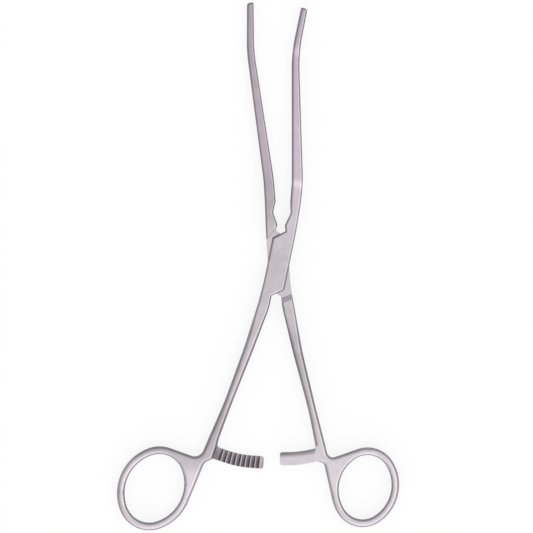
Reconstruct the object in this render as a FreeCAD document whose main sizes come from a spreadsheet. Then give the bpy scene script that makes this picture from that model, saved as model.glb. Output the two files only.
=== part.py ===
import FreeCAD
import Part
import math
import os
import Sketcher

# Subclavian artery clamp, lying flat: jaws towards +Y, finger rings towards -Y, top face up.
# The origin is on the pivot axis, on the underside of the box lock. Lengths in millimetres.

doc = FreeCAD.newDocument("SubclavianArteryClamp")
sheet = doc.addObject("Spreadsheet::Sheet", "Sizes")

SIZES = [
    # Box lock
    ("box_thickness", 5.4, "full thickness at the box lock"),
    ("box_width", 8.2, "width of the slotted box"),
    ("tongue_width", 8.0, "width of the tongue inside the box"),
    ("shoulder_reach", 9.2, "pivot to the outer corner of a shoulder, along the box"),
    ("crotch_reach", 12.6, "pivot to the crotch, along the box"),
    ("crotch_inset", 0.1, "crotch to the middle line of the box"),
    ("slot_height", 2.3, "height of the slot through the box"),
    ("tongue_clearance", 0.05, "gap between the tongue and each wall of the slot"),
    ("slot_end_clearance", 0.35, "gap between the closed tongue and the end of the slot"),
    ("tongue_step_reach", 9.5, "pivot to the outer end of the step on the jaw side"),
    ("tongue_step_rise", 4.4, "how much further up the step meets the middle line"),
    ("tongue_ramp_reach", 12.5, "pivot to the start of the ramp on the shank side, square to it"),
    ("tongue_ramp_length", 2.1, "length of that ramp"),
    ("tongue_ramp_turn", 18.0, "turn of the ramp in plan, degrees"),
    ("pin_diameter", 2.6, "lock pin"),
    ("pin_clearance", 0.05, "radial gap between the pin and the tongue"),
    # Pose in which the clamp is modelled
    ("box_lean", 11.8, "lean of the box to the right, degrees"),
    ("tongue_lean", 3.8, "lean of the tongue to the left, degrees"),
    ("closing_angle", 10.0, "turn that brings the jaws together, degrees"),
    # Jaws, both arms
    ("jaw_heel_width", 4.15, "jaw width at the heel of the gripping face"),
    ("jaw_bend_width", 2.85, "jaw width at the second bend"),
    ("jaw_tip_width", 2.55, "jaw width at the tip"),
    ("jaw_tip_thickness", 2.6, "thickness of the jaw at its tip"),
    ("jaw_bend_radius", 60.0, "plan radius of the jaw's bends"),
    ("jaw_tip_radius", 1.7, "plan radius of the tip's outer corner"),
    ("relief_reach", 19.6, "pivot to the deepest point of the relief behind the jaw's heel"),
    ("relief_radius", 3.6, "plan radius of the relief"),
    ("knuckle_reach", 14.9, "pivot to the knuckle between relief and crotch"),
    ("knuckle_radius", 1.0, "plan radius of the knuckle"),
    # Jaw of the slotted arm
    ("slotted_heel_reach", 24.0, "pivot to the heel of the gripping face"),
    ("slotted_heel_inset", 0.5, "heel past the middle line"),
    ("slotted_root_width", 4.3, "jaw width at the first bend"),
    ("slotted_relief_inset", 0.55, "relief to the middle line"),
    ("slotted_knuckle_inset", 0.6, "knuckle past the middle line"),
    ("slotted_root_lean", 7.2, "lean of the gripping face up to the first bend, degrees"),
    ("slotted_root_length", 7.6, "heel to first bend"),
    ("slotted_blade_lean", 11.9, "lean of the blade, degrees"),
    ("slotted_blade_length", 49.0, "first to second bend"),
    ("slotted_tip_lean", -0.1, "lean of the tip, degrees"),
    ("slotted_tip_length", 17.5, "second bend to tip"),
    # Jaw of the through arm
    ("through_heel_reach", 23.7, "pivot to the heel of the gripping face"),
    ("through_heel_inset", 0.5, "heel past the middle line"),
    ("through_root_width", 4.0, "jaw width at the first bend"),
    ("through_relief_inset", 0.75, "relief to the middle line"),
    ("through_knuckle_inset", 0.5, "knuckle past the middle line"),
    ("through_root_lean", 0.6, "lean of the gripping face up to the first bend, degrees"),
    ("through_root_length", 8.3, "heel to first bend"),
    ("through_blade_lean", 4.95, "lean of the blade, degrees"),
    ("through_blade_length", 49.4, "first to second bend"),
    ("through_tip_lean", -3.2, "lean of the tip, degrees"),
    ("through_tip_length", 18.4, "second bend to tip"),
    # Shanks
    ("shank_root_reach", 17.0, "pivot to the root of the shank"),
    ("shank_mid_reach", 34.0, "pivot to the middle of the shank"),
    ("shank_waist_reach", 56.0, "pivot to the slimmest place of the shank"),
    ("shank_fork_reach", 70.0, "pivot to the fork"),
    ("shank_root_width", 4.55, "shank width at the root"),
    ("shank_mid_width", 3.65, "shank width in the middle"),
    ("shank_waist_width", 2.95, "shank width at its slimmest"),
    ("shank_fork_width", 3.75, "shank width at the fork"),
    ("shank_thickness", 3.8, "thickness of the lower shank, the ratchet and the ring"),
    ("shank_bend_radius", 120.0, "plan radius of the shank's sweep"),
    ("shank_root_radius", 40.0, "plan radius where the shank leaves the box"),
    ("shank_fork_radius", 18.0, "plan radius where the shank meets the fork"),
    ("slotted_root_offset", 2.3, "shank middle line to the box middle line, at the root"),
    ("slotted_mid_offset", 4.48, "the same in the middle of the shank"),
    ("slotted_waist_offset", 8.0, "the same at the waist"),
    ("slotted_fork_offset", 10.5, "the same at the fork"),
    ("through_root_offset", 2.65, "shank middle line to the tongue middle line, at the root"),
    ("through_mid_offset", 5.02, "the same in the middle of the shank"),
    ("through_waist_offset", 9.1, "the same at the waist"),
    ("through_fork_offset", 11.3, "the same at the fork"),
    # Finger rings
    ("ring_rim", 2.9, "width of the ring's rim in plan"),
    ("ring_round", 1.1, "rounding of the ring's inner edges"),
    ("slotted_ring_across", 28.7, "ring centre to the box middle line"),
    ("slotted_ring_reach", 23.2, "fork to the ring centre, along the arm"),
    ("slotted_ring_width", 21.8, "opening of the larger ring, short way"),
    ("slotted_ring_height", 27.0, "opening of the larger ring, long way"),
    ("slotted_ring_lean", 13.8, "lean of its long axis to the right, degrees"),
    ("through_ring_across", 27.2, "ring centre to the tongue middle line"),
    ("through_ring_reach", 16.95, "fork to the ring centre, along the arm"),
    ("through_ring_width", 19.9, "opening of the smaller ring, short way"),
    ("through_ring_height", 24.7, "opening of the smaller ring, long way"),
    ("through_ring_lean", 16.9, "lean of its long axis to the right, degrees"),
    ("fork_corner_radius", 3.6, "plan radius of the fork's outer corner"),
    ("fork_side_radius", 3.0, "plan radius between ratchet bar and ring"),
    ("slotted_fork_corner", 8.7, "fork to its outer corner, along the arm"),
    ("slotted_fork_across", 14.1, "fork's outer corner to the middle line"),
    ("slotted_side_across", 12.1, "corner between bar and ring to the middle line"),
    ("slotted_side_reach", 9.7, "fork to that corner, along the arm"),
    ("through_fork_corner", 5.4, "fork to its outer corner, along the arm"),
    ("through_fork_across", 14.1, "fork's outer corner to the middle line"),
    ("through_side_across", 12.15, "corner between bar and ring to the middle line"),
    ("through_side_reach", 6.6, "fork to that corner, along the arm"),
    # Ratchet
    ("slotted_bar_inner", 3.5, "fork to the bar's upper edge, toothed side up"),
    ("slotted_bar_width", 4.7, "width of that bar"),
    ("slotted_bar_root", -6.8, "angle of the bar's root from the box middle line, degrees"),
    ("slotted_bar_tip", 7.5, "angle of the bar's tip, degrees"),
    ("through_bar_inner", 1.6, "fork to the bar's upper edge, toothed side down"),
    ("through_bar_width", 4.95, "width of that bar"),
    ("through_bar_root", 7.2, "angle of the bar's root from the tongue middle line, degrees"),
    ("through_bar_tip", -3.4, "angle of the bar's tip, degrees"),
    ("bar_gap", 0.2, "gap between the two bars' tooth tips"),
    ("bar_root_radius", 2.4, "plan radius between shank and bar"),
    ("bar_tip_radius", 0.9, "plan radius of the bar's tip corners"),
    ("bar_bury", 1.2, "how far the bar reaches into its shank, degrees"),
    ("tooth_pitch", 1.37, "angle from tooth to tooth, degrees"),
    ("tooth_depth", 0.65, "depth of the teeth"),
    ("tooth_land", 0.25, "flat left on each tooth tip"),
    ("tooth_slope_share", 0.85, "share of a gap taken by the long slope, which faces the tip"),
    ("slotted_tooth_start", -5.2, "angle of the first gap between teeth, degrees"),
    ("slotted_tooth_count", 9, "gaps between teeth on the slotted arm's bar"),
    ("through_tooth_start", -2.4, "angle of the first gap between teeth, degrees"),
    ("through_tooth_count", 6, "gaps between teeth on the through arm's bar"),
    # Edges
    ("edge_round", 0.85, "rounding of the edges of box and jaws"),
    ("shank_round", 1.35, "rounding of the edges of the lower shank and the ring's outside"),
]

for row, (alias, value, note) in enumerate(SIZES, start=1):
    sheet.set("A%d" % row, str(value))
    sheet.setAlias("A%d" % row, alias)
    sheet.set("B%d" % row, note)
doc.recompute()


def size(alias):
    return float(sheet.get(alias))


def below_fork(alias):
    """Distance from the pivot to a place that is measured from the fork."""
    return size("shank_fork_reach") + size(alias)


# Largest share of an outline's side that the rounding of one corner may take.
SIDE_SHARE = 0.47
# Cutters run this far past what they cut.
OVERRUN = 1.0
# Points nearer than this count as one.
TOLERANCE = 0.01


# Plan geometry

def unit(dx, dy):
    length = math.hypot(dx, dy)
    return dx / length, dy / length


def rounded_outline(corners, bridge=None, arcs=()):
    """Closed outline through corners (x, y, radius) with each corner rounded.

    The side that starts at the corner numbered bridge is replaced by the given arcs.
    """
    starts = []
    ends = []
    middles = []
    count = len(corners)
    for i in range(count):
        x, y, radius = corners[i]
        px, py, _ = corners[i - 1]
        nx, ny, _ = corners[(i + 1) % count]
        ax, ay = unit(px - x, py - y)
        bx, by = unit(nx - x, ny - y)
        half = math.acos(max(-1.0, min(1.0, ax * bx + ay * by))) / 2.0
        if radius <= 0.0 or math.pi / 2.0 - half < 1e-4:
            starts.append((x, y))
            ends.append((x, y))
            middles.append(None)
            continue
        room = min(math.hypot(px - x, py - y), math.hypot(nx - x, ny - y))
        run = min(radius / math.tan(half), SIDE_SHARE * room)
        radius = run * math.tan(half)
        starts.append((x + ax * run, y + ay * run))
        ends.append((x + bx * run, y + by * run))
        cx, cy = unit(ax + bx, ay + by)
        out = radius / math.sin(half) - radius
        middles.append((x + cx * out, y + cy * out))
    pieces = []
    for i in range(count):
        j = (i + 1) % count
        if middles[i] is not None:
            pieces.append(Part.Arc(flat(starts[i]), flat(middles[i]), flat(ends[i])))
        if i == bridge:
            pieces.extend(arcs)
        else:
            pieces.append(Part.LineSegment(flat(ends[i]), flat(starts[j])))
    return pieces


class Oval:
    """Finger ring outline of four tangent arcs, grown outwards by an offset."""

    def __init__(self, arm, across, offset):
        short = size(arm + "_ring_width") / 2.0
        long = size(arm + "_ring_height") / 2.0
        self.shift = (long - short) / (2.0 - math.sqrt(2.0))
        self.end_radius = long - self.shift + offset
        self.side_radius = short + self.shift + offset
        self.lean = math.radians(size(arm + "_ring_lean"))
        self.centre = (across, -below_fork(arm + "_ring_reach"))

    def place(self, u, v):
        c = math.cos(self.lean)
        q = math.sin(self.lean)
        return self.centre[0] + u * c + v * q, self.centre[1] - u * q + v * c

    def arc_at(self, degrees):
        """Centre and radius of the arc whose outward direction is the given angle."""
        quarter = int(math.floor((degrees + 45.0) / 90.0)) % 4
        shift = self.shift
        if quarter == 0:
            return self.place(-shift, 0.0), self.side_radius
        if quarter == 1:
            return self.place(0.0, shift), self.end_radius
        if quarter == 2:
            return self.place(shift, 0.0), self.side_radius
        return self.place(0.0, -shift), self.end_radius

    def on_arc(self, centre, radius, degrees):
        angle = math.radians(degrees) - self.lean
        return centre[0] + radius * math.cos(angle), centre[1] + radius * math.sin(angle)

    def tangent(self, point, degrees, turn):
        """Outward direction at which a line from the point touches the arc at the given angle."""
        centre, radius = self.arc_at(degrees)
        dx = point[0] - centre[0]
        dy = point[1] - centre[1]
        angle = math.atan2(dy, dx) + turn * math.acos(radius / math.hypot(dx, dy))
        return math.degrees(angle + self.lean)

    def touches(self, point):
        """Whether a point lies on the oval in plan."""
        for degrees in (0.0, 90.0, 180.0, 270.0):
            centre, radius = self.arc_at(degrees)
            away = math.hypot(point.x - centre[0], point.y - centre[1])
            reach = math.hypot(point.x - self.centre[0], point.y - self.centre[1])
            if abs(away - radius) < TOLERANCE and reach < radius + TOLERANCE + self.shift:
                return True
        return False

    def arcs(self, start, end):
        """Arcs from one outward direction to another, and the path's two end points."""
        step = 1.0 if end > start else -1.0
        stops = [start]
        corner = 45.0 + 90.0 * math.floor((start - 45.0) / 90.0 + (1.0 if step > 0 else 0.0))
        while step * (end - corner) > 1e-6:
            if step * (corner - start) > 1e-6:
                stops.append(corner)
            corner += step * 90.0
        stops.append(end)
        pieces = []
        for first, last in zip(stops, stops[1:]):
            centre, radius = self.arc_at((first + last) / 2.0)
            points = []
            for degrees in (first, (first + last) / 2.0, last):
                points.append(flat(self.on_arc(centre, radius, degrees)))
            pieces.append(Part.Arc(points[0], points[1], points[2]))
        centre, radius = self.arc_at(start + step * 1e-3)
        first = self.on_arc(centre, radius, start)
        centre, radius = self.arc_at(end - step * 1e-3)
        return pieces, first, self.on_arc(centre, radius, end)


def flat(point):
    return FreeCAD.Vector(point[0], point[1], 0.0)


def turned(point, degrees):
    angle = math.radians(degrees)
    return (
        point[0] * math.cos(angle) - point[1] * math.sin(angle),
        point[0] * math.sin(angle) + point[1] * math.cos(angle),
    )


def polar(radius, degrees):
    """Point at a radius from the pivot, its angle counted from -Y towards +X."""
    angle = math.radians(degrees)
    return radius * math.sin(angle), -radius * math.cos(angle)


def jaw_outline(side, arm):
    """Corners of one jaw from the heel's outer side round the tip to the heel."""
    leans = [size(arm + "_root_lean"), size(arm + "_blade_lean"), size(arm + "_tip_lean")]
    runs = [size(arm + "_root_length"), size(arm + "_blade_length"), size(arm + "_tip_length")]
    widths = [
        size("jaw_heel_width"),
        size(arm + "_root_width"),
        size("jaw_bend_width"),
        size("jaw_tip_width"),
    ]
    grip = [(-side * size(arm + "_heel_inset"), size(arm + "_heel_reach"))]
    for lean, run in zip(leans, runs):
        angle = math.radians(lean)
        x, y = grip[-1]
        grip.append((x - run * math.sin(angle), y + run * math.cos(angle)))
    normals = [leans[0], (leans[0] + leans[1]) / 2.0, (leans[1] + leans[2]) / 2.0, leans[2]]
    back = []
    for (x, y), lean, width in zip(grip, normals, widths):
        angle = math.radians(lean)
        back.append((x + side * width * math.cos(angle), y + side * width * math.sin(angle)))
    bend = size("jaw_bend_radius")
    corners = [(back[0][0], back[0][1], bend)]
    corners.append((back[1][0], back[1][1], bend))
    corners.append((back[2][0], back[2][1], bend))
    corners.append((back[3][0], back[3][1], size("jaw_tip_radius")))
    corners.append((grip[3][0], grip[3][1], 0.0))
    corners.append((grip[2][0], grip[2][1], bend))
    corners.append((grip[1][0], grip[1][1], bend))
    corners.append((grip[0][0], grip[0][1], 0.0))
    return corners


def arm_outline(side, arm, width):
    """Plan of a whole arm. The jaw is on the given side of the middle line, the shank opposite."""
    half = width / 2.0
    shoulder = size("shoulder_reach")
    crotch = size("crotch_reach")
    inset = size("crotch_inset")
    sweep = size("shank_bend_radius")
    bends = {
        "root": size("shank_root_radius"),
        "mid": sweep,
        "waist": sweep,
        "fork": size("shank_fork_radius"),
    }
    stations = []
    for name in ("root", "mid", "waist", "fork"):
        stations.append((
            -side * size("%s_%s_offset" % (arm, name)),
            -size("shank_%s_reach" % name),
            size("shank_%s_width" % name) / 2.0,
            bends[name],
        ))
    across = -side * size(arm + "_ring_across")
    bar_inner = below_fork(arm + "_bar_inner")
    bar_outer = bar_inner + size(arm + "_bar_width")
    root_inner = polar(bar_inner, size(arm + "_bar_root"))
    root_outer = polar(bar_outer, size(arm + "_bar_root"))

    corners = [(side * half, -shoulder, 0.0)]
    corners.append((side * half, crotch, sweep))
    corners.extend(jaw_outline(side, arm))
    relief = side * size(arm + "_relief_inset")
    knuckle = -side * size(arm + "_knuckle_inset")
    corners.append((relief, size("relief_reach"), size("relief_radius")))
    corners.append((knuckle, size("knuckle_reach"), size("knuckle_radius")))
    corners.append((side * inset, crotch, 0.0))
    corners.append((-side * half, shoulder, 0.0))
    corners.append((-side * half, -shoulder, sweep))
    for x, y, w, bend in stations:
        corners.append((x - side * w, y, bend))
    ring = Oval(arm, across, size("ring_rim"))
    fork = (-side * size(arm + "_fork_across"), -below_fork(arm + "_fork_corner"))
    nook = (-side * size(arm + "_side_across"), -below_fork(arm + "_side_reach"))
    start = ring.tangent(fork, 90.0, side)
    end = ring.tangent(nook, 90.0 - side * 90.0, -side)
    if side > 0.0:
        end += 360.0
    else:
        end -= 360.0
    arcs, join, leave = ring.arcs(start, end)
    corners.append((fork[0], fork[1], size("fork_corner_radius")))
    bridge = len(corners)
    corners.append((join[0], join[1], 0.0))
    corners.append((leave[0], leave[1], 0.0))
    corners.append((nook[0], nook[1], size("fork_side_radius")))
    corners.append((root_outer[0], root_outer[1], 0.0))
    corners.append((root_inner[0], root_inner[1], 0.0))
    for x, y, w, bend in reversed(stations):
        corners.append((x + side * w, y, bend))
    corners.append((-side * inset, -crotch, 0.0))
    return rounded_outline(corners, bridge, arcs)


# Features

def origin_plane(body, role):
    for feature in body.Origin.OriginFeatures:
        if feature.Role == role:
            return feature
    raise ValueError(role)


def new_sketch(body, name, role, geometry, offset=None):
    sketch = body.newObject("Sketcher::SketchObject", name)
    sketch.AttachmentSupport = [(origin_plane(body, role), "")]
    sketch.MapMode = "FlatFace"
    if offset is not None:
        sketch.AttachmentOffset = offset
    sketch.addGeometry(geometry, False)
    return sketch


def taper_region(sign):
    """Region above (or below) the side profile, cut away across the whole arm."""
    box = size("box_thickness") / 2.0
    tip = size("jaw_tip_thickness") / 2.0
    low = size("shank_thickness") / 2.0
    heel = size("relief_reach")
    reach = size("through_heel_reach") + size("through_blade_length") + size("through_tip_length")
    slope = (box - tip) / (reach - heel)
    far = 2.0 * reach
    high = 2.0 * box
    return [
        (-far, sign * high),
        (-far, sign * low),
        (-size("shank_waist_reach"), sign * low),
        (-size("shank_root_reach"), sign * box),
        (heel, sign * box),
        (reach + size("box_width"), sign * (box - slope * (reach + size("box_width") - heel))),
        (reach + size("box_width"), sign * high),
    ]


def edge_radius(y):
    """Rounding of an arm's edge at this place along it: fuller below the root of the shank."""
    root = size("shank_root_reach")
    share = min(1.0, max(0.0, (-y - root) / (size("shank_mid_reach") - root)))
    return size("edge_round") + share * (size("shank_round") - size("edge_round"))


def cap_edges(shape, wanted=None):
    """Names of the edges between an upright wall and a flat face, all or those wanted."""
    names = []
    faces = []
    for face in shape.Faces:
        u0, u1, v0, v1 = face.ParameterRange
        normal = face.normalAt((u0 + u1) / 2.0, (v0 + v1) / 2.0)
        faces.append((face, abs(normal.z) < 0.2))
    owners = {}
    for face, upright in faces:
        for edge in face.Edges:
            owners.setdefault(edge.hashCode(), []).append((edge, upright))
    for number, edge in enumerate(shape.Edges, start=1):
        kinds = set()
        for other, upright in owners.get(edge.hashCode(), []):
            if other.isSame(edge):
                kinds.add(upright)
        if len(kinds) != 2:
            continue
        first, last = edge.ParameterRange
        if wanted is None or wanted(edge.valueAt((first + last) / 2.0)):
            names.append("Edge%d" % number)
    return names


def expression(alias, factor=1.0):
    return "Sizes.%s * %g" % (alias, factor)


def lifted(height):
    return FreeCAD.Placement(FreeCAD.Vector(0.0, 0.0, height), FreeCAD.Rotation())


def polygon(points):
    pieces = []
    for first, last in zip(points, points[1:] + points[:1]):
        pieces.append(Part.LineSegment(flat(first), flat(last)))
    return pieces


def build_blank(side, arm, width):
    """Plan of the arm, as thick as the box, thinned towards the jaw tip and down the shank."""
    blank = doc.addObject("PartDesign::Body", arm + "_blank")
    plan = new_sketch(blank, arm + "_plan", "XY_Plane", arm_outline(side, arm, width))
    pad = blank.newObject("PartDesign::Pad", arm + "_pad")
    pad.Profile = plan
    pad.SideType = "Symmetric"
    pad.setExpression("Length", expression("box_thickness"))
    for sign, name in ((1.0, "_top_taper"), (-1.0, "_bottom_taper")):
        profile = new_sketch(blank, arm + name + "_plan", "YZ_Plane", polygon(taper_region(sign)))
        taper = blank.newObject("PartDesign::Pocket", arm + name)
        taper.Profile = profile
        taper.SideType = "Symmetric"
        taper.setExpression("Length", expression(arm + "_ring_across", 4.0))
    doc.recompute()
    return blank


def round_edges(blank, arm):
    """Round every edge of the blank's two faces, each with the radius of its place."""
    edges = []
    for name in cap_edges(blank.Shape):
        number = int(name[4:])
        edge = blank.Shape.Edges[number - 1]
        first = edge_radius(edge.Vertexes[0].Point.y)
        last = edge_radius(edge.Vertexes[-1].Point.y)
        edges.append((number, last, first))
    rounded = doc.addObject("Part::Fillet", arm + "_outer_edges")
    rounded.Base = blank
    rounded.Edges = edges
    doc.recompute()
    return rounded


def build_arm(side, arm, width):
    rounded = round_edges(build_blank(side, arm, width), arm)
    body = doc.addObject("PartDesign::Body", arm + "_forging")
    body.BaseFeature = rounded
    doc.recompute()

    opening = Oval(arm, -side * size(arm + "_ring_across"), 0.0)
    arcs, _, _ = opening.arcs(45.0, 405.0)
    hole_plan = new_sketch(body, arm + "_hole_plan", "XY_Plane", arcs)
    hole = body.newObject("PartDesign::Pocket", arm + "_hole")
    hole.Profile = hole_plan
    hole.SideType = "Symmetric"
    hole.setExpression("Length", expression("box_thickness", 2.0))
    doc.recompute()

    rim = body.newObject("PartDesign::Fillet", arm + "_rim_edges")
    rim.Base = (hole, cap_edges(hole.Shape, opening.touches))
    rim.setExpression("Radius", expression("ring_round"))
    doc.recompute()
    return body


def build_slot(body, width):
    """Slot through the box, open at both sides, that clears the closed tongue."""
    closed = size("box_lean") + size("tongue_lean") - size("closing_angle")
    corner = turned((size("tongue_width") / 2.0, size("shoulder_reach")), closed)
    crotch = turned((-size("crotch_inset"), size("crotch_reach")), closed)
    dx, dy = unit(crotch[0] - corner[0], crotch[1] - corner[1])
    gap = size("slot_end_clearance")
    start = (corner[0] + dy * gap, corner[1] - dx * gap)
    points = []
    for x in (width, -width):
        points.append((x, start[1] + (x - start[0]) * dy / dx))
    points.extend([(-x, -y) for x, y in points])
    plan = new_sketch(body, "slot_plan", "XY_Plane", polygon(points))
    slot = body.newObject("PartDesign::Pocket", "slot")
    slot.Profile = plan
    slot.SideType = "Symmetric"
    slot.setExpression("Length", expression("slot_height"))
    doc.recompute()


def build_tongue(body, side, width):
    """Thin the arm where it passes the box: a slanting step above, a ramp below."""
    half = width / 2.0
    wide = width
    thick = size("slot_height") - 2.0 * size("tongue_clearance")
    step = size("tongue_step_reach")
    rise = size("tongue_step_rise") / half
    turn = math.radians(size("tongue_ramp_turn"))
    reach = size("tongue_ramp_reach")
    across = 2.0 * wide

    def on_ramp(run):
        return (reach * math.sin(turn) + run * math.cos(turn),
                -reach * math.cos(turn) + run * math.sin(turn))

    points = [
        (side * wide, step + rise * (half - wide)),
        (-side * wide, step + rise * (half + wide)),
        on_ramp(across),
        on_ramp(-across),
    ]
    for sign, name in ((1.0, "upper"), (-1.0, "lower")):
        plan = new_sketch(body, "tongue_%s_plan" % name, "XY_Plane", polygon(points),
                          lifted(sign * thick / 2.0))
        cut = body.newObject("PartDesign::Pocket", "tongue_" + name)
        cut.Profile = plan
        cut.Reversed = sign > 0.0
        cut.setExpression("Length", expression("box_thickness"))
        top = size("box_thickness") / 2.0
        length = size("tongue_ramp_length")
        grade = length / (top - thick / 2.0)
        profile = polygon([
            (-reach, sign * thick / 2.0),
            (-reach, sign * (top + OVERRUN)),
            (-reach - length - grade * OVERRUN, sign * (top + OVERRUN)),
        ])
        offset = FreeCAD.Placement(FreeCAD.Vector(), FreeCAD.Rotation(FreeCAD.Vector(0, 1, 0),
                                                                   math.degrees(turn)))
        ramp_plan = new_sketch(body, "ramp_%s_plan" % name, "YZ_Plane", profile, offset)
        ramp = body.newObject("PartDesign::Pocket", "ramp_" + name)
        ramp.Profile = ramp_plan
        ramp.SideType = "Symmetric"
        ramp.setExpression("Length", expression("tongue_width", 3.0))
        doc.recompute()


def build_bore(body, name, diameter_expression):
    circle = Part.Circle(FreeCAD.Vector(), FreeCAD.Vector(0, 0, 1), size("pin_diameter") / 2.0)
    plan = new_sketch(body, name + "_plan", "XY_Plane", [circle])
    plan.addConstraint(Sketcher.Constraint("Coincident", 0, 3, -1, 1))
    number = plan.addConstraint(Sketcher.Constraint("Diameter", 0, size("pin_diameter")))
    plan.setExpression("Constraints[%d]" % number, diameter_expression)
    bore = body.newObject("PartDesign::Pocket", name)
    bore.Profile = plan
    bore.SideType = "Symmetric"
    bore.setExpression("Length", expression("box_thickness", 2.0))
    doc.recompute()


def build_bar(side, arm, up):
    """Ratchet bar on an arc about the pivot, half as thick as the shank, teeth facing up or down."""
    inner = below_fork(arm + "_bar_inner")
    outer = inner + size(arm + "_bar_width")
    root = size(arm + "_bar_root")
    tip = size(arm + "_bar_tip")
    half_turn = math.radians(abs(tip - root) / 2.0)
    middle = (root + tip) / 2.0
    inside = root - math.copysign(size("bar_bury"), tip - root)
    fork_x = side * (size("shank_fork_width") / 2.0 - TOLERANCE) - side * size(arm + "_fork_offset")
    fork_y = -size("shank_fork_reach")
    tip_round = size("bar_tip_radius")

    def at(radius, degrees, corner=0.0):
        x, y = polar(radius, degrees)
        return x, y, corner

    outline = rounded_outline([
        at(math.hypot(fork_x, fork_y), inside),
        (fork_x, fork_y, 0.0),
        at(inner, root, size("bar_root_radius")),
        at(inner / math.cos(half_turn), middle, inner),
        at(inner, tip, tip_round),
        at(outer, tip, tip_round),
        at(outer / math.cos(half_turn), middle, outer),
        at(outer, root),
        at(outer, inside),
    ])
    face = size("shank_thickness") / 2.0
    gap = size("bar_gap") / 2.0
    start = -face if up > 0.0 else gap
    bar = doc.addObject("PartDesign::Body", arm + "_bar")
    plan = new_sketch(bar, arm + "_bar_plan", "XY_Plane", outline, lifted(start))
    pad = bar.newObject("PartDesign::Pad", arm + "_bar_pad")
    pad.Profile = plan
    pad.setExpression("Length", "Sizes.shank_thickness / 2 - Sizes.bar_gap / 2")
    doc.recompute()
    build_teeth(bar, side, arm, up, inner, outer)
    return bar


def build_teeth(bar, side, arm, up, inner, outer):
    """Saw teeth across the bar: the long slopes face its tip, the steep faces its root."""
    level = -up * size("bar_gap") / 2.0
    pitch = math.radians(size("tooth_pitch")) * (inner + outer) / 2.0
    width = pitch - size("tooth_land")
    deepest = side * (size("tooth_slope_share") - 0.5) * width
    profile = polygon([
        (-width / 2.0, level + up * OVERRUN),
        (width / 2.0, level + up * OVERRUN),
        (width / 2.0, level),
        (deepest, level - up * size("tooth_depth")),
        (-width / 2.0, level),
    ])
    turn = FreeCAD.Rotation(FreeCAD.Vector(0, 1, 0), size(arm + "_tooth_start"))
    along = turn.multVec(FreeCAD.Vector(0.0, 0.0, inner - OVERRUN))
    plan = new_sketch(bar, arm + "_tooth_plan", "XZ_Plane", profile,
                      FreeCAD.Placement(along, turn))
    tooth = bar.newObject("PartDesign::Pocket", arm + "_tooth")
    tooth.Profile = plan
    tooth.Reversed = True
    tooth.setExpression("Length", "Sizes.%s_bar_width + %g" % (arm, 2.0 * OVERRUN))
    doc.recompute()

    row = bar.newObject("PartDesign::PolarPattern", arm + "_teeth")
    row.Originals = [tooth]
    row.Axis = (origin_plane(bar, "Z_Axis"), [""])
    row.setExpression("Angle", "Sizes.tooth_pitch * (Sizes.%s_tooth_count - 1)" % arm)
    row.setExpression("Occurrences", "Sizes.%s_tooth_count" % arm)
    row.Reversed = side < 0.0
    bar.Tip = row
    doc.recompute()


def join(label, forging, bar):
    arm = doc.addObject("Part::Fuse", label)
    arm.Label = label
    arm.Base = forging
    arm.Tool = bar
    arm.Refine = True
    doc.recompute()
    return arm


slotted = build_arm(1.0, "slotted", size("box_width"))
build_slot(slotted, size("box_width"))
build_bore(slotted, "pin_hole", expression("pin_diameter"))
box_arm = join("box_arm", slotted, build_bar(1.0, "slotted", 1.0))

through = build_arm(-1.0, "through", size("tongue_width"))
build_tongue(through, -1.0, size("tongue_width"))
build_bore(through, "pivot_hole", "Sizes.pin_diameter + 2 * Sizes.pin_clearance")
through_arm = join("through_arm", through, build_bar(-1.0, "through", -1.0))

pin = doc.addObject("PartDesign::Body", "joint_pin")
pin.Label = "joint_pin"
pin_circle = Part.Circle(FreeCAD.Vector(), FreeCAD.Vector(0, 0, 1), size("pin_diameter") / 2.0)
pin_plan = new_sketch(pin, "pin_plan", "XY_Plane", [pin_circle])
pin_plan.addConstraint(Sketcher.Constraint("Coincident", 0, 3, -1, 1))
number = pin_plan.addConstraint(Sketcher.Constraint("Diameter", 0, size("pin_diameter")))
pin_plan.setExpression("Constraints[%d]" % number, expression("pin_diameter"))
pin_pad = pin.newObject("PartDesign::Pad", "pin_rod")
pin_pad.Profile = pin_plan
pin_pad.SideType = "Symmetric"
pin_pad.setExpression("Length", expression("box_thickness"))

leans = ((box_arm, -size("box_lean")), (through_arm, size("tongue_lean")), (pin, 0.0))
for piece, degrees in leans:
    turn = FreeCAD.Rotation(FreeCAD.Vector(0, 0, 1), degrees)
    piece.Placement = FreeCAD.Placement(FreeCAD.Vector(0, 0, size("box_thickness") / 2.0), turn)
doc.recompute()

for item in doc.Objects:
    if "Invalid" in item.State or "Error" in item.State:
        raise RuntimeError("failed: " + item.Name)
pieces = (box_arm, through_arm, pin)
for piece in pieces:
    if piece.Shape.isNull() or not piece.Shape.isValid() or len(piece.Shape.Solids) != 1:
        raise RuntimeError("bad solid: " + piece.Label)
    print(piece.Label, "%.1f mm3" % piece.Shape.Volume, len(piece.Shape.Faces), "faces")

os.makedirs("parts", exist_ok=True)
for piece in pieces:
    piece.Shape.exportStep(os.path.join("parts", piece.Label + ".step"))
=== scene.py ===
import math
from collections import namedtuple

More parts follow.
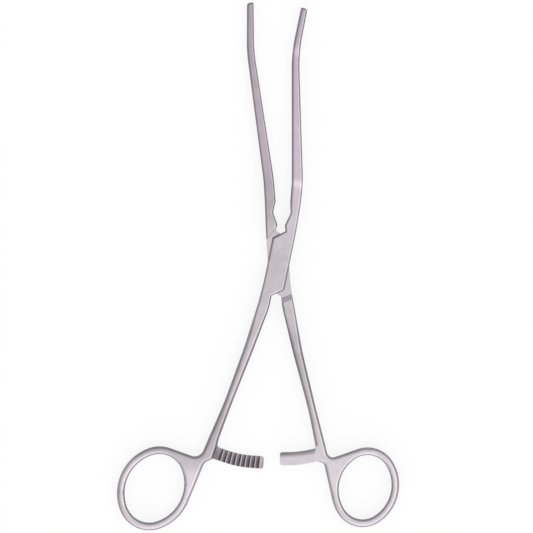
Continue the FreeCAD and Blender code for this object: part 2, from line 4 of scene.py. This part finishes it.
import bpy
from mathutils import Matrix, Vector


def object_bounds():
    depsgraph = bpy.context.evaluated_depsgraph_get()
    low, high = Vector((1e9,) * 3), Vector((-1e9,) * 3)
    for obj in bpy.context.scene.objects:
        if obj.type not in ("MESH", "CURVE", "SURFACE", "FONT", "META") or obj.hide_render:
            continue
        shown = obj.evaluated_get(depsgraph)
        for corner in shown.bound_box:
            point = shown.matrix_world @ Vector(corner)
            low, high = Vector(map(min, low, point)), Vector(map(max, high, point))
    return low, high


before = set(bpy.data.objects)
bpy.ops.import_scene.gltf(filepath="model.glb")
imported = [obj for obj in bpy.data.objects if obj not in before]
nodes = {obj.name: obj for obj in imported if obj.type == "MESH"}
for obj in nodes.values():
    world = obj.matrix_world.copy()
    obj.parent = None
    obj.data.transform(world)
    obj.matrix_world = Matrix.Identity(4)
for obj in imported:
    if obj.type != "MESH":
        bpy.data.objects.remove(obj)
cad_low, cad_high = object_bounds()

# The clamp lies flat in the frame with its jaws towards +Y. The frame is in metres.
MM = 0.001

scene = bpy.context.scene


# Node helpers

OPAQUE = 1.0
NEW_STOP_PLACE = 0.5


def new_tree(name):
    """A new material and its node tree, emptied."""
    material = bpy.data.materials.new(name)
    material.use_nodes = True
    tree = material.node_tree
    tree.nodes.clear()
    return material, tree


def node(tree, kind, **settings):
    """A new node with these settings."""
    made = tree.nodes.new(kind)
    for key, value in settings.items():
        setattr(made, key, value)
    return made


def feed(tree, socket, value):
    """Link an output to an input socket, or set the socket to a plain value."""
    if isinstance(value, bpy.types.NodeSocket):
        tree.links.new(value, socket)
    else:
        socket.default_value = value


def maths(tree, operation, first, second=0.0, third=0.0):
    """Result of one operation on numbers."""
    made = node(tree, "ShaderNodeMath", operation=operation)
    feed(tree, made.inputs[0], first)
    feed(tree, made.inputs[1], second)
    feed(tree, made.inputs[2], third)
    return made.outputs["Value"]


def product(tree, first, *others):
    """All these numbers multiplied."""
    result = first
    for other in others:
        result = maths(tree, "MULTIPLY", result, other)
    return result


def largest(tree, first, *others):
    """The largest of these numbers."""
    result = first
    for other in others:
        result = maths(tree, "MAXIMUM", result, other)
    return result


def vector_maths(tree, operation, first, second=None):
    """Result of one operation on vectors. For SCALE, the second value is a number."""
    made = node(tree, "ShaderNodeVectorMath", operation=operation)
    feed(tree, made.inputs[0], first)
    if operation == "SCALE":
        feed(tree, made.inputs["Scale"], second)
    elif second is not None:
        feed(tree, made.inputs[1], second)
    return made.outputs["Vector"]


def split(tree, vector):
    """The three parts of a vector."""
    part = node(tree, "ShaderNodeSeparateXYZ")
    tree.links.new(vector, part.inputs["Vector"])
    return part.outputs["X"], part.outputs["Y"], part.outputs["Z"]


def remap(tree, value, span, new_span, smooth=False):
    """The value carried over from one span of numbers to another, and held within it."""
    made = node(tree, "ShaderNodeMapRange")
    if smooth:
        made.interpolation_type = "SMOOTHSTEP"
    made.inputs["From Min"].default_value = span[0]
    made.inputs["From Max"].default_value = span[1]
    made.inputs["To Min"].default_value = new_span[0]
    made.inputs["To Max"].default_value = new_span[1]
    tree.links.new(value, made.inputs["Value"])
    return made.outputs["Result"]


def fade_in(tree, value, span):
    """0 below the span, 1 above it."""
    return remap(tree, value, span, (0.0, 1.0))


def fade_out(tree, value, span):
    """1 below the span, 0 above it."""
    return remap(tree, value, span, (1.0, 0.0))


def profile(tree, share, stops, span, interpolation):
    """A number that follows stops of place and number. Share goes from 0 to 1 over the span."""
    ramp = node(tree, "ShaderNodeValToRGB")
    ramp.color_ramp.interpolation = interpolation
    made = ramp.color_ramp.elements
    while len(made) < len(stops):
        made.new(NEW_STOP_PLACE)
    for stop, (place, number) in zip(made, stops):
        stop.position = (place - span[0]) / (span[1] - span[0])
        stop.color = (number, number, number, OPAQUE)
    tree.links.new(share, ramp.inputs["Fac"])
    return ramp.outputs["Color"]


def tinted(tree, share, colour, tint):
    """The colour multiplied by the tint, as far as the share says."""
    made = node(tree, "ShaderNodeMix", data_type="RGBA", blend_type="MULTIPLY")
    feed(tree, made.inputs["Factor"], share)
    feed(tree, made.inputs["A"], colour)
    feed(tree, made.inputs["B"], tint)
    return made.outputs["Result"]


# Satin steel: colours

WHITE = (1.0, 1.0, 1.0, OPAQUE)
STEEL_DARK = (0.53, 0.485, 0.525, OPAQUE)
STEEL_LIGHT = (0.62, 0.58, 0.62, OPAQUE)
# Painted shade on steep side walls.
WALL_PAINTED_SHADE = (0.32, 0.30, 0.33, OPAQUE)
# Painted light on the ramp behind the box.
RAMP_PAINTED_LIGHT = (1.42, 1.42, 1.50, OPAQUE)
JAW_BLUSH = (1.0, 0.945, 0.985, OPAQUE)
# Painted shade in crevices.
CREVICE_PAINTED_SHADE = (0.20, 0.18, 0.21, OPAQUE)
# Painted shade along the jaw's inner edge.
STRIP_PAINTED_SHADE = (0.76, 0.735, 0.80, OPAQUE)
# Painted shade in the tooth gaps.
TOOTH_PAINTED_SHADE = (0.37, 0.325, 0.34, OPAQUE)

# Satin steel: patterns, each with its fineness per mm along and across the arm.
Pattern = namedtuple("Pattern", "along across detail roughness")
GRAIN = Pattern(along=0.45, across=4.5, detail=3.0, roughness=0.6)
SCRATCHES = Pattern(along=0.20, across=8.0, detail=1.0, roughness=0.5)
BLOTCHES = Pattern(along=0.24, across=0.24, detail=4.0, roughness=0.55)
SPECKLE = Pattern(along=4.8, across=4.8, detail=2.0, roughness=0.5)
PATTERN_SPAN = (0.3, 0.7)
GRAIN_SWING = (-0.5, 0.5)
GRAIN_SHARE = 0.40
BLOTCH_SWING = (0.15, 0.85)
SATIN_ROUGHNESS = (0.20, 0.29)
RAMP_ROUGHNESS = 0.35
RELIEF_STRENGTH = 0.16
RELIEF_DEPTH = 0.02 * MM

# Painted light and shade along each arm, from its ring to its jaw tip: place in mm from the pivot,
# and tone.
# Painted highlights lie at the two bends of the box arm's jaw, and painted shade lies on the through
# arm's jaw.
BOX_ARM_PAINTED_LIGHT = (
    (-110.0, 1.14), (-87.0, 1.30), (-78.0, 0.95), (-66.0, 0.85), (-52.0, 0.99), (-25.0, 1.06),
    (0.0, 1.05), (24.0, 1.18), (28.6, 1.16), (31.1, 1.60), (33.6, 1.14), (40.0, 1.15),
    (77.5, 1.02), (80.2, 1.30), (83.0, 1.02), (96.0, 0.96),
)
THROUGH_ARM_PAINTED_LIGHT = (
    (-110.0, 1.12), (-83.0, 1.28), (-75.0, 1.20), (-60.0, 1.07), (-38.0, 0.87), (-14.0, 1.06),
    (10.0, 1.13), (18.0, 0.90), (30.0, 0.88), (42.0, 0.95), (96.0, 0.82),
)
PAINTED_LIGHT_SPAN = (-110.0, 110.0)
HIGHEST_TONE = 2.0

# For the steel, plain lengths are in mm. A pair of numbers is the span over which a look fades.

# Painted shade on steep side walls: slopes in degrees at which a surface counts as a wall and as a
# face.
WALL_SLOPE = 60.0
FLAT_SLOPE = 34.0

# Painted shade in crevices, found by how much of the near space is open.
CREVICE_REACH = 0.36 * MM
CREVICE_SAMPLES = 8
OPENNESS = (0.45, 0.85)

# Ramp behind the box, painted lighter and made rougher, by its place along the arm and by the parts
# of its normal.
RAMP_START = (-28.0, -27.0)
RAMP_END = (-9.0, -8.0)
RAMP_LENGTHWISE = (0.35, 0.5)
RAMP_UPWARD = (0.1, 0.25)

# Inner edge of the slotted arm's jaw, as in the source. Leans are in degrees.
JAW_HEEL = 24.0
JAW_HEEL_INSET = 0.5
JAW_ROOT_LEAN = 7.2
JAW_ROOT_LENGTH = 7.6
JAW_BLADE_LEAN = 11.9
JAW_BLADE_LENGTH = 49.0
JAW_TIP = 97.0
LARGEST_INSET = 20.0

# Looks of the jaws: where they start along the arm, which parts of the normal they need, how wide
# the painted shade strip along the inner edge is, and the cross teeth of the gripping face.
JAW_START = (14.0, 18.0)
BLUSH_START = (14.0, 26.0)
GRIP_START = (JAW_HEEL, JAW_HEEL + 0.5)
FACES_OTHER_JAW = (0.2, 0.5)
FACES_GRIP = (0.85, 0.95)
STRIP_EDGE = (0.85, 1.25)
CROSS_TEETH_PITCH = 1.0
CROSS_TEETH_HALF = 0.5
CROSS_TEETH_DEPTH = 0.35 * MM

# Ratchet bars, as in the source: each runs on an arc about the pivot. Near and far side are
# measured from the arm's own radii, start and bands across the arm towards the bar's tip.
BAR_NEAR_SIDE = (-0.6, -0.2)
BAR_FAR_SIDE = (0.2, 0.6)
BAR_START = (-9.6, -8.6)
BARS_BELOW = (-60.0, -58.0)
BAR_ROUND = 2.5
BAR_ROLL = 0.85
# How much less painted wall shade and painted crevice shade the bar gets.
BAR_WALL_LIGHTENING = 0.6
BAR_CREVICE_SHADE_LIGHTENING = 0.8

# Teeth: their face lies at the plane where the bars meet, in the middle of the box. Their gaps, and
# bands at the bar's root and tip, get painted shade.
MEETING_PLANE = cad_high.z / MM / 2.0
FACES_UP_OR_DOWN = (0.3, 0.6)
GAP_DEPTH = (0.12, 0.29)
TEETH_DEPTH = (0.85, 1.15)
ROOT_BAND = (-8.0, -6.8)
ROOT_BAND_SHADE = 0.85
TIP_BAND = (9.0, 9.6)
TIP_BAND_SHADE = 0.6
# The painted tooth shade is weaker over this width from the bar's inner edge.
SHADE_FADE_WIDTH = 2.6
SHADE_FADE_LEVEL = 0.6

# What a material has to know of an arm: on which side its jaw is, how far it is turned, in
# degrees, its painted light and shade along the arm, the radii of its bar, and 1 or 0 for the ramp
# and the painted shade strip.
Arm = namedtuple("Arm", "side lean finish bar_inner bar_outer has_ramp has_strip")
BOX_ARM = Arm(side=1.0, lean=11.8, finish=BOX_ARM_PAINTED_LIGHT, bar_inner=73.5, bar_outer=78.2,
              has_ramp=0.0, has_strip=1.0)
THROUGH_ARM = Arm(side=-1.0, lean=-3.8, finish=THROUGH_ARM_PAINTED_LIGHT, bar_inner=71.6, bar_outer=76.55,
                  has_ramp=1.0, has_strip=0.0)


class Surface:
    """Where a point lies in the arm's own frame, and which way it faces in the part's."""

    def __init__(self, tree, arm):
        coordinates = node(tree, "ShaderNodeTexCoord")
        self.from_pivot = coordinates.outputs["Object"]
        self.normal = coordinates.outputs["Normal"]
        nx, ny, nz = split(tree, self.normal)
        self.lengthwise = maths(tree, "ABSOLUTE", ny)
        self.level = maths(tree, "ABSOLUTE", nz)
        self.to_other_jaw = product(tree, nx, -arm.side)
        self.to_teeth = product(tree, nz, arm.side)
        self.from_teeth = product(tree, nz, -arm.side)

        turned = node(tree, "ShaderNodeVectorRotate", rotation_type="Z_AXIS")
        turned.inputs["Angle"].default_value = math.radians(arm.lean)
        tree.links.new(self.from_pivot, turned.inputs["Vector"])
        to_mm = (1.0 / MM, 1.0 / MM, 1.0 / MM)
        self.place = vector_maths(tree, "MULTIPLY", turned.outputs["Vector"], to_mm)
        self.x, self.y, self.z = split(tree, self.place)
        self.along_bar = product(tree, self.x, arm.side)
        squares = maths(tree, "MULTIPLY_ADD", self.x, self.x, product(tree, self.y, self.y))
        self.radius = maths(tree, "SQRT", squares)


def pattern(tree, at, kind):
    """Noise of one kind over the surface, stretched along the arm."""
    fineness = (kind.across, kind.along, kind.across)
    made = node(tree, "ShaderNodeTexNoise")
    made.inputs["Scale"].default_value = 1.0
    made.inputs["Detail"].default_value = kind.detail
    made.inputs["Roughness"].default_value = kind.roughness
    tree.links.new(vector_maths(tree, "MULTIPLY", at.place, fineness), made.inputs["Vector"])
    return made.outputs["Fac"]


def painted_light_along_arm(tree, arm, at):
    """Painted light and shade along the arm, as a tone of the metal."""
    stops = [(place, tone / HIGHEST_TONE) for place, tone in arm.finish]
    tone = profile(tree, fade_in(tree, at.y, PAINTED_LIGHT_SPAN), stops, PAINTED_LIGHT_SPAN, "EASE")
    return product(tree, tone, HIGHEST_TONE)


def bare_steel(tree, arm, at, grain, blotches):
    """Colour of the steel: grain and blotches between a dark and a light steel, times the painted
    light and shade along the arm.
    """
    grain = remap(tree, grain, PATTERN_SPAN, GRAIN_SWING)
    blotches = remap(tree, blotches, PATTERN_SPAN, BLOTCH_SWING)
    between = node(tree, "ShaderNodeValToRGB")
    between.color_ramp.elements[0].color = STEEL_DARK
    between.color_ramp.elements[1].color = STEEL_LIGHT
    share = maths(tree, "MULTIPLY_ADD", grain, GRAIN_SHARE, blotches)
    tree.links.new(share, between.inputs["Fac"])
    # Painted light and shade along the arm.
    return tinted(tree, 1.0, between.outputs["Color"], painted_light_along_arm(tree, arm, at))


def on_ramp(tree, arm, at):
    """Share of the ramp behind the box."""
    start = fade_in(tree, at.y, RAMP_START)
    end = remap(tree, at.y, RAMP_END, (arm.has_ramp, 0.0))
    lengthwise = fade_in(tree, at.lengthwise, RAMP_LENGTHWISE)
    upward = fade_in(tree, at.level, RAMP_UPWARD)
    return product(tree, start, end, lengthwise, upward)


def on_bar(tree, arm, at):
    """Share of the ratchet bar."""
    near_side = (arm.bar_inner + BAR_NEAR_SIDE[0], arm.bar_inner + BAR_NEAR_SIDE[1])
    far_side = (arm.bar_outer + BAR_FAR_SIDE[0], arm.bar_outer + BAR_FAR_SIDE[1])
    inside = fade_in(tree, at.radius, near_side)
    outside = fade_out(tree, at.radius, far_side)
    beyond_root = fade_in(tree, at.along_bar, BAR_START)
    below_box = fade_out(tree, at.y, BARS_BELOW)
    return product(tree, inside, outside, beyond_root, below_box)


def jaw_edge(tree, at):
    """Where the inner edge of the slotted arm's jaw lies across the arm: root, blade and tip."""
    heel = (JAW_HEEL, JAW_HEEL_INSET)
    lean = math.radians(JAW_ROOT_LEAN)
    root = (heel[0] + JAW_ROOT_LENGTH * math.cos(lean), heel[1] + JAW_ROOT_LENGTH * math.sin(lean))
    lean = math.radians(JAW_BLADE_LEAN)
    bend = (root[0] + JAW_BLADE_LENGTH * math.cos(lean), root[1] + JAW_BLADE_LENGTH * math.sin(lean))
    tip = (JAW_TIP, bend[1])
    stops = [(place, inset / LARGEST_INSET) for place, inset in (heel, root, bend, tip)]
    span = (JAW_HEEL, JAW_TIP)
    inset = profile(tree, fade_in(tree, at.y, span), stops, span, "LINEAR")
    return product(tree, inset, -LARGEST_INSET)


def painted_strip_shade(tree, arm, at):
    """Share of the painted shade strip along the jaw's inner edge, which stands for its shaded
    bevel.
    """
    from_edge = maths(tree, "SUBTRACT", at.x, jaw_edge(tree, at))
    strip = remap(tree, from_edge, STRIP_EDGE, (arm.has_strip, 0.0), smooth=True)
    return product(tree, strip, fade_in(tree, at.y, JAW_START))


def painted_wall_shade(tree, at, ramp, bar):
    """Share of the painted shade on steep side walls, less on the ramp, the jaws' inner sides and
    the bar.
    """
    slopes = (math.cos(math.radians(WALL_SLOPE)), math.cos(math.radians(FLAT_SLOPE)))
    wall = remap(tree, at.level, slopes, (1.0, 0.0), smooth=True)
    inner_side = fade_in(tree, at.to_other_jaw, FACES_OTHER_JAW)
    inner_side = product(tree, inner_side, fade_in(tree, at.y, JAW_START))
    lighter = largest(tree, ramp, inner_side, product(tree, bar, BAR_WALL_LIGHTENING))
    return product(tree, wall, maths(tree, "SUBTRACT", 1.0, lighter))


def painted_crevice_shade(tree, bar):
    """Share of the painted shade in crevices, weaker on the bar."""
    shelter = node(tree, "ShaderNodeAmbientOcclusion")
    shelter.samples = CREVICE_SAMPLES
    shelter.inputs["Distance"].default_value = CREVICE_REACH
    film = fade_out(tree, shelter.outputs["AO"], OPENNESS)
    return product(tree, film, maths(tree, "MULTIPLY_ADD", bar, -BAR_CREVICE_SHADE_LIGHTENING, 1.0))


def painted_tooth_shade(tree, arm, at, bar):
    """Share of the painted shade in the gaps between the teeth, with bands of painted shade at the
    bar's root and tip, weaker towards the bar's inner edge.
    """
    depth = maths(tree, "ABSOLUTE", maths(tree, "SUBTRACT", at.z, MEETING_PLANE))
    gap = fade_in(tree, depth, GAP_DEPTH)
    root = remap(tree, at.along_bar, ROOT_BAND, (ROOT_BAND_SHADE, 0.0))
    tip = remap(tree, at.along_bar, TIP_BAND, (0.0, TIP_BAND_SHADE))
    near_teeth = fade_out(tree, depth, TEETH_DEPTH)
    toothed_face = fade_in(tree, at.to_teeth, FACES_UP_OR_DOWN)
    shade_fade_part = (arm.bar_inner, arm.bar_inner + SHADE_FADE_WIDTH)
    shade_fade = remap(tree, at.radius, shade_fade_part, (SHADE_FADE_LEVEL, 1.0))
    return product(tree, largest(tree, gap, root, tip), near_teeth, bar, toothed_face, shade_fade)


def rounded_bar(tree, arm, at, bar):
    """Normal that rolls over towards the pivot along the upper edge of the bar's plain face."""
    to_pivot = vector_maths(tree, "MULTIPLY", at.from_pivot, (-1.0, -1.0, 0.0))
    to_pivot = vector_maths(tree, "NORMALIZE", to_pivot)
    rounded_part = (arm.bar_inner, arm.bar_inner + BAR_ROUND)
    roll = remap(tree, at.radius, rounded_part, (BAR_ROLL, 0.0), smooth=True)
    plain_face = fade_in(tree, at.from_teeth, FACES_UP_OR_DOWN)
    push = vector_maths(tree, "SCALE", to_pivot, product(tree, roll, bar, plain_face))
    to_world = node(tree, "ShaderNodeVectorTransform", vector_type="NORMAL",
                    convert_from="OBJECT", convert_to="WORLD")
    tree.links.new(vector_maths(tree, "ADD", at.normal, push), to_world.inputs["Vector"])
    return to_world.outputs["Vector"]


def bumped(tree, height, strength, depth, normal):
    """The normal after a relief of this height."""
    bump = node(tree, "ShaderNodeBump")
    bump.inputs["Distance"].default_value = depth
    feed(tree, bump.inputs["Strength"], strength)
    tree.links.new(height, bump.inputs["Height"])
    tree.links.new(normal, bump.inputs["Normal"])
    return bump.outputs["Normal"]


def cross_teeth(tree, at, normal):
    """Normal with fine cross teeth on the gripping face of the jaw."""
    grip = fade_in(tree, at.to_other_jaw, FACES_GRIP)
    grip = product(tree, grip, fade_in(tree, at.y, GRIP_START))
    wave = maths(tree, "DIVIDE", at.y, CROSS_TEETH_PITCH)
    wave = maths(tree, "PINGPONG", wave, CROSS_TEETH_HALF)
    return bumped(tree, wave, grip, CROSS_TEETH_DEPTH, normal)


def satin_steel(name, arm):
    """Satin stainless steel: fine grain along the arm, faint blotches, soft gloss."""
    material, tree = new_tree(name)
    at = Surface(tree, arm)
    grain = pattern(tree, at, GRAIN)
    scratches = pattern(tree, at, SCRATCHES)
    blotches = pattern(tree, at, BLOTCHES)
    speckle = pattern(tree, at, SPECKLE)
    ramp = on_ramp(tree, arm, at)
    bar = on_bar(tree, arm, at)

    colour = bare_steel(tree, arm, at, grain, blotches)
    # Painted light on the ramp behind the box.
    colour = tinted(tree, ramp, colour, RAMP_PAINTED_LIGHT)
    colour = tinted(tree, fade_in(tree, at.y, BLUSH_START), colour, JAW_BLUSH)
    # Painted shade along the jaw's inner edge.
    colour = tinted(tree, painted_strip_shade(tree, arm, at), colour, STRIP_PAINTED_SHADE)
    # Painted shade on steep side walls.
    colour = tinted(tree, painted_wall_shade(tree, at, ramp, bar), colour, WALL_PAINTED_SHADE)
    # Painted shade in crevices.
    colour = tinted(tree, painted_crevice_shade(tree, bar), colour, CREVICE_PAINTED_SHADE)
    # Painted shade in the tooth gaps and at the bar's root and tip.
    colour = tinted(tree, painted_tooth_shade(tree, arm, at, bar), colour, TOOTH_PAINTED_SHADE)

    roughness = remap(tree, blotches, PATTERN_SPAN, SATIN_ROUGHNESS)
    roughness = maths(tree, "MULTIPLY_ADD", ramp, RAMP_ROUGHNESS, roughness)

    relief = maths(tree, "ADD", grain, maths(tree, "ADD", speckle, scratches))
    normal = rounded_bar(tree, arm, at, bar)
    normal = cross_teeth(tree, at, normal)
    normal = bumped(tree, relief, RELIEF_STRENGTH, RELIEF_DEPTH, normal)

    steel = node(tree, "ShaderNodeBsdfPrincipled")
    steel.inputs["Metallic"].default_value = 1.0
    tree.links.new(colour, steel.inputs["Base Color"])
    tree.links.new(roughness, steel.inputs["Roughness"])
    tree.links.new(normal, steel.inputs["Normal"])
    out = node(tree, "ShaderNodeOutputMaterial")
    tree.links.new(steel.outputs["BSDF"], out.inputs["Surface"])
    return material


def dress(name, material):
    """Give a CAD node its material."""
    piece = nodes[name]
    piece.data.materials.clear()
    piece.data.materials.append(material)


dress("box_arm", satin_steel("box_arm_satin_steel", BOX_ARM))
dress("through_arm", satin_steel("through_arm_satin_steel", THROUGH_ARM))
dress("joint_pin", satin_steel("pin_satin_steel", BOX_ARM))


# Floor, with its size in metres

FLOOR_SIZE = 6.0
FLOOR_PAINT = (0.22, 0.22, 0.22, OPAQUE)
FLOOR_GLOW = 0.82


def white_floor():
    """Pale floor that shows white to the camera and in the steel, and keeps a faint shadow."""
    material, tree = new_tree("white_floor")
    paint = node(tree, "ShaderNodeBsdfDiffuse")
    paint.inputs["Color"].default_value = FLOOR_PAINT
    rays = node(tree, "ShaderNodeLightPath")
    seen = largest(tree, rays.outputs["Is Camera Ray"], rays.outputs["Is Glossy Ray"],
                   rays.outputs["Is Transmission Ray"])
    glow = node(tree, "ShaderNodeEmission")
    glow.inputs["Color"].default_value = WHITE
    tree.links.new(product(tree, seen, FLOOR_GLOW), glow.inputs["Strength"])
    both = node(tree, "ShaderNodeAddShader")
    tree.links.new(paint.outputs["BSDF"], both.inputs[0])
    tree.links.new(glow.outputs["Emission"], both.inputs[1])
    out = node(tree, "ShaderNodeOutputMaterial")
    tree.links.new(both.outputs["Shader"], out.inputs["Surface"])
    return material


bpy.ops.mesh.primitive_plane_add(size=FLOOR_SIZE, location=(0.0, 0.0, 0.0))
floor = bpy.context.object
floor.name = "floor"
floor.data.materials.append(white_floor())


# Light: a soft studio whose right, left, far and near sides differ

# For each side: the axis and direction it lies in, and its brightness at heights in degrees.
Side = namedtuple("Side", "axis direction brightness")
STUDIO = (
    Side("X", 1.0, ((0.0, 0.30), (24.0, 0.42), (38.0, 0.95), (52.0, 1.75), (64.0, 1.80),
                    (78.0, 1.38), (90.0, 1.15))),
    Side("X", -1.0, ((0.0, 0.40), (30.0, 0.54), (60.0, 0.78), (78.0, 1.0), (90.0, 1.15))),
    Side("Y", 1.0, ((0.0, 0.32), (20.0, 0.45), (45.0, 0.64), (70.0, 0.92), (90.0, 1.15))),
    Side("Y", -1.0, ((0.0, 1.40), (30.0, 1.65), (60.0, 1.65), (90.0, 1.15))),
)
HORIZON_TO_TOP = (0.0, 90.0)
QUARTER_TURN = math.pi / 2.0
SIDE_SHARPNESS = 2.0


def sky_brightness(tree):
    """Brightness of the studio in every direction, blended between its four sides."""
    coordinates = node(tree, "ShaderNodeTexCoord")
    x, y, z = split(tree, coordinates.outputs["Generated"])
    height = maths(tree, "DIVIDE", maths(tree, "ARCSINE", z), QUARTER_TURN)
    level = node(tree, "ShaderNodeCombineXYZ")
    tree.links.new(x, level.inputs["X"])
    tree.links.new(y, level.inputs["Y"])
    level_x, level_y, _ = split(tree, vector_maths(tree, "NORMALIZE", level.outputs["Vector"]))
    compass = {"X": level_x, "Y": level_y}

    total = 0.0
    for side in STUDIO:
        facing = product(tree, compass[side.axis], side.direction)
        share = maths(tree, "POWER", largest(tree, facing, 0.0), SIDE_SHARPNESS)
        brightness = profile(tree, height, side.brightness, HORIZON_TO_TOP, "EASE")
        total = maths(tree, "MULTIPLY_ADD", share, brightness, total)
    return total


def studio_world():
    """The world, lit as the studio."""
    world = bpy.data.worlds.new("studio")
    world.use_nodes = True
    tree = world.node_tree
    tree.nodes.clear()
    sky = node(tree, "ShaderNodeBackground")
    tree.links.new(sky_brightness(tree), sky.inputs["Strength"])
    out = node(tree, "ShaderNodeOutputWorld")
    tree.links.new(sky.outputs["Background"], out.inputs["Surface"])
    return world


scene.world = studio_world()


# Camera straight above, in metres: the square view is this wide at half the clamp's height.

VIEW_WIDTH = 202.54 * MM
VIEW_CENTRE = (-4.56 * MM, -1.10 * MM)
CAMERA_HEIGHT = 1.6
SENSOR_WIDTH = 36.0

camera_data = bpy.data.cameras.new("camera")
camera_data.sensor_width = SENSOR_WIDTH
camera_data.sensor_height = SENSOR_WIDTH
camera_data.lens = SENSOR_WIDTH * (CAMERA_HEIGHT - cad_high.z / 2.0) / VIEW_WIDTH
camera = bpy.data.objects.new("camera", camera_data)
camera.location = (VIEW_CENTRE[0], VIEW_CENTRE[1], CAMERA_HEIGHT)
scene.collection.objects.link(camera)
scene.camera = camera

scene.view_settings.view_transform = "Standard"
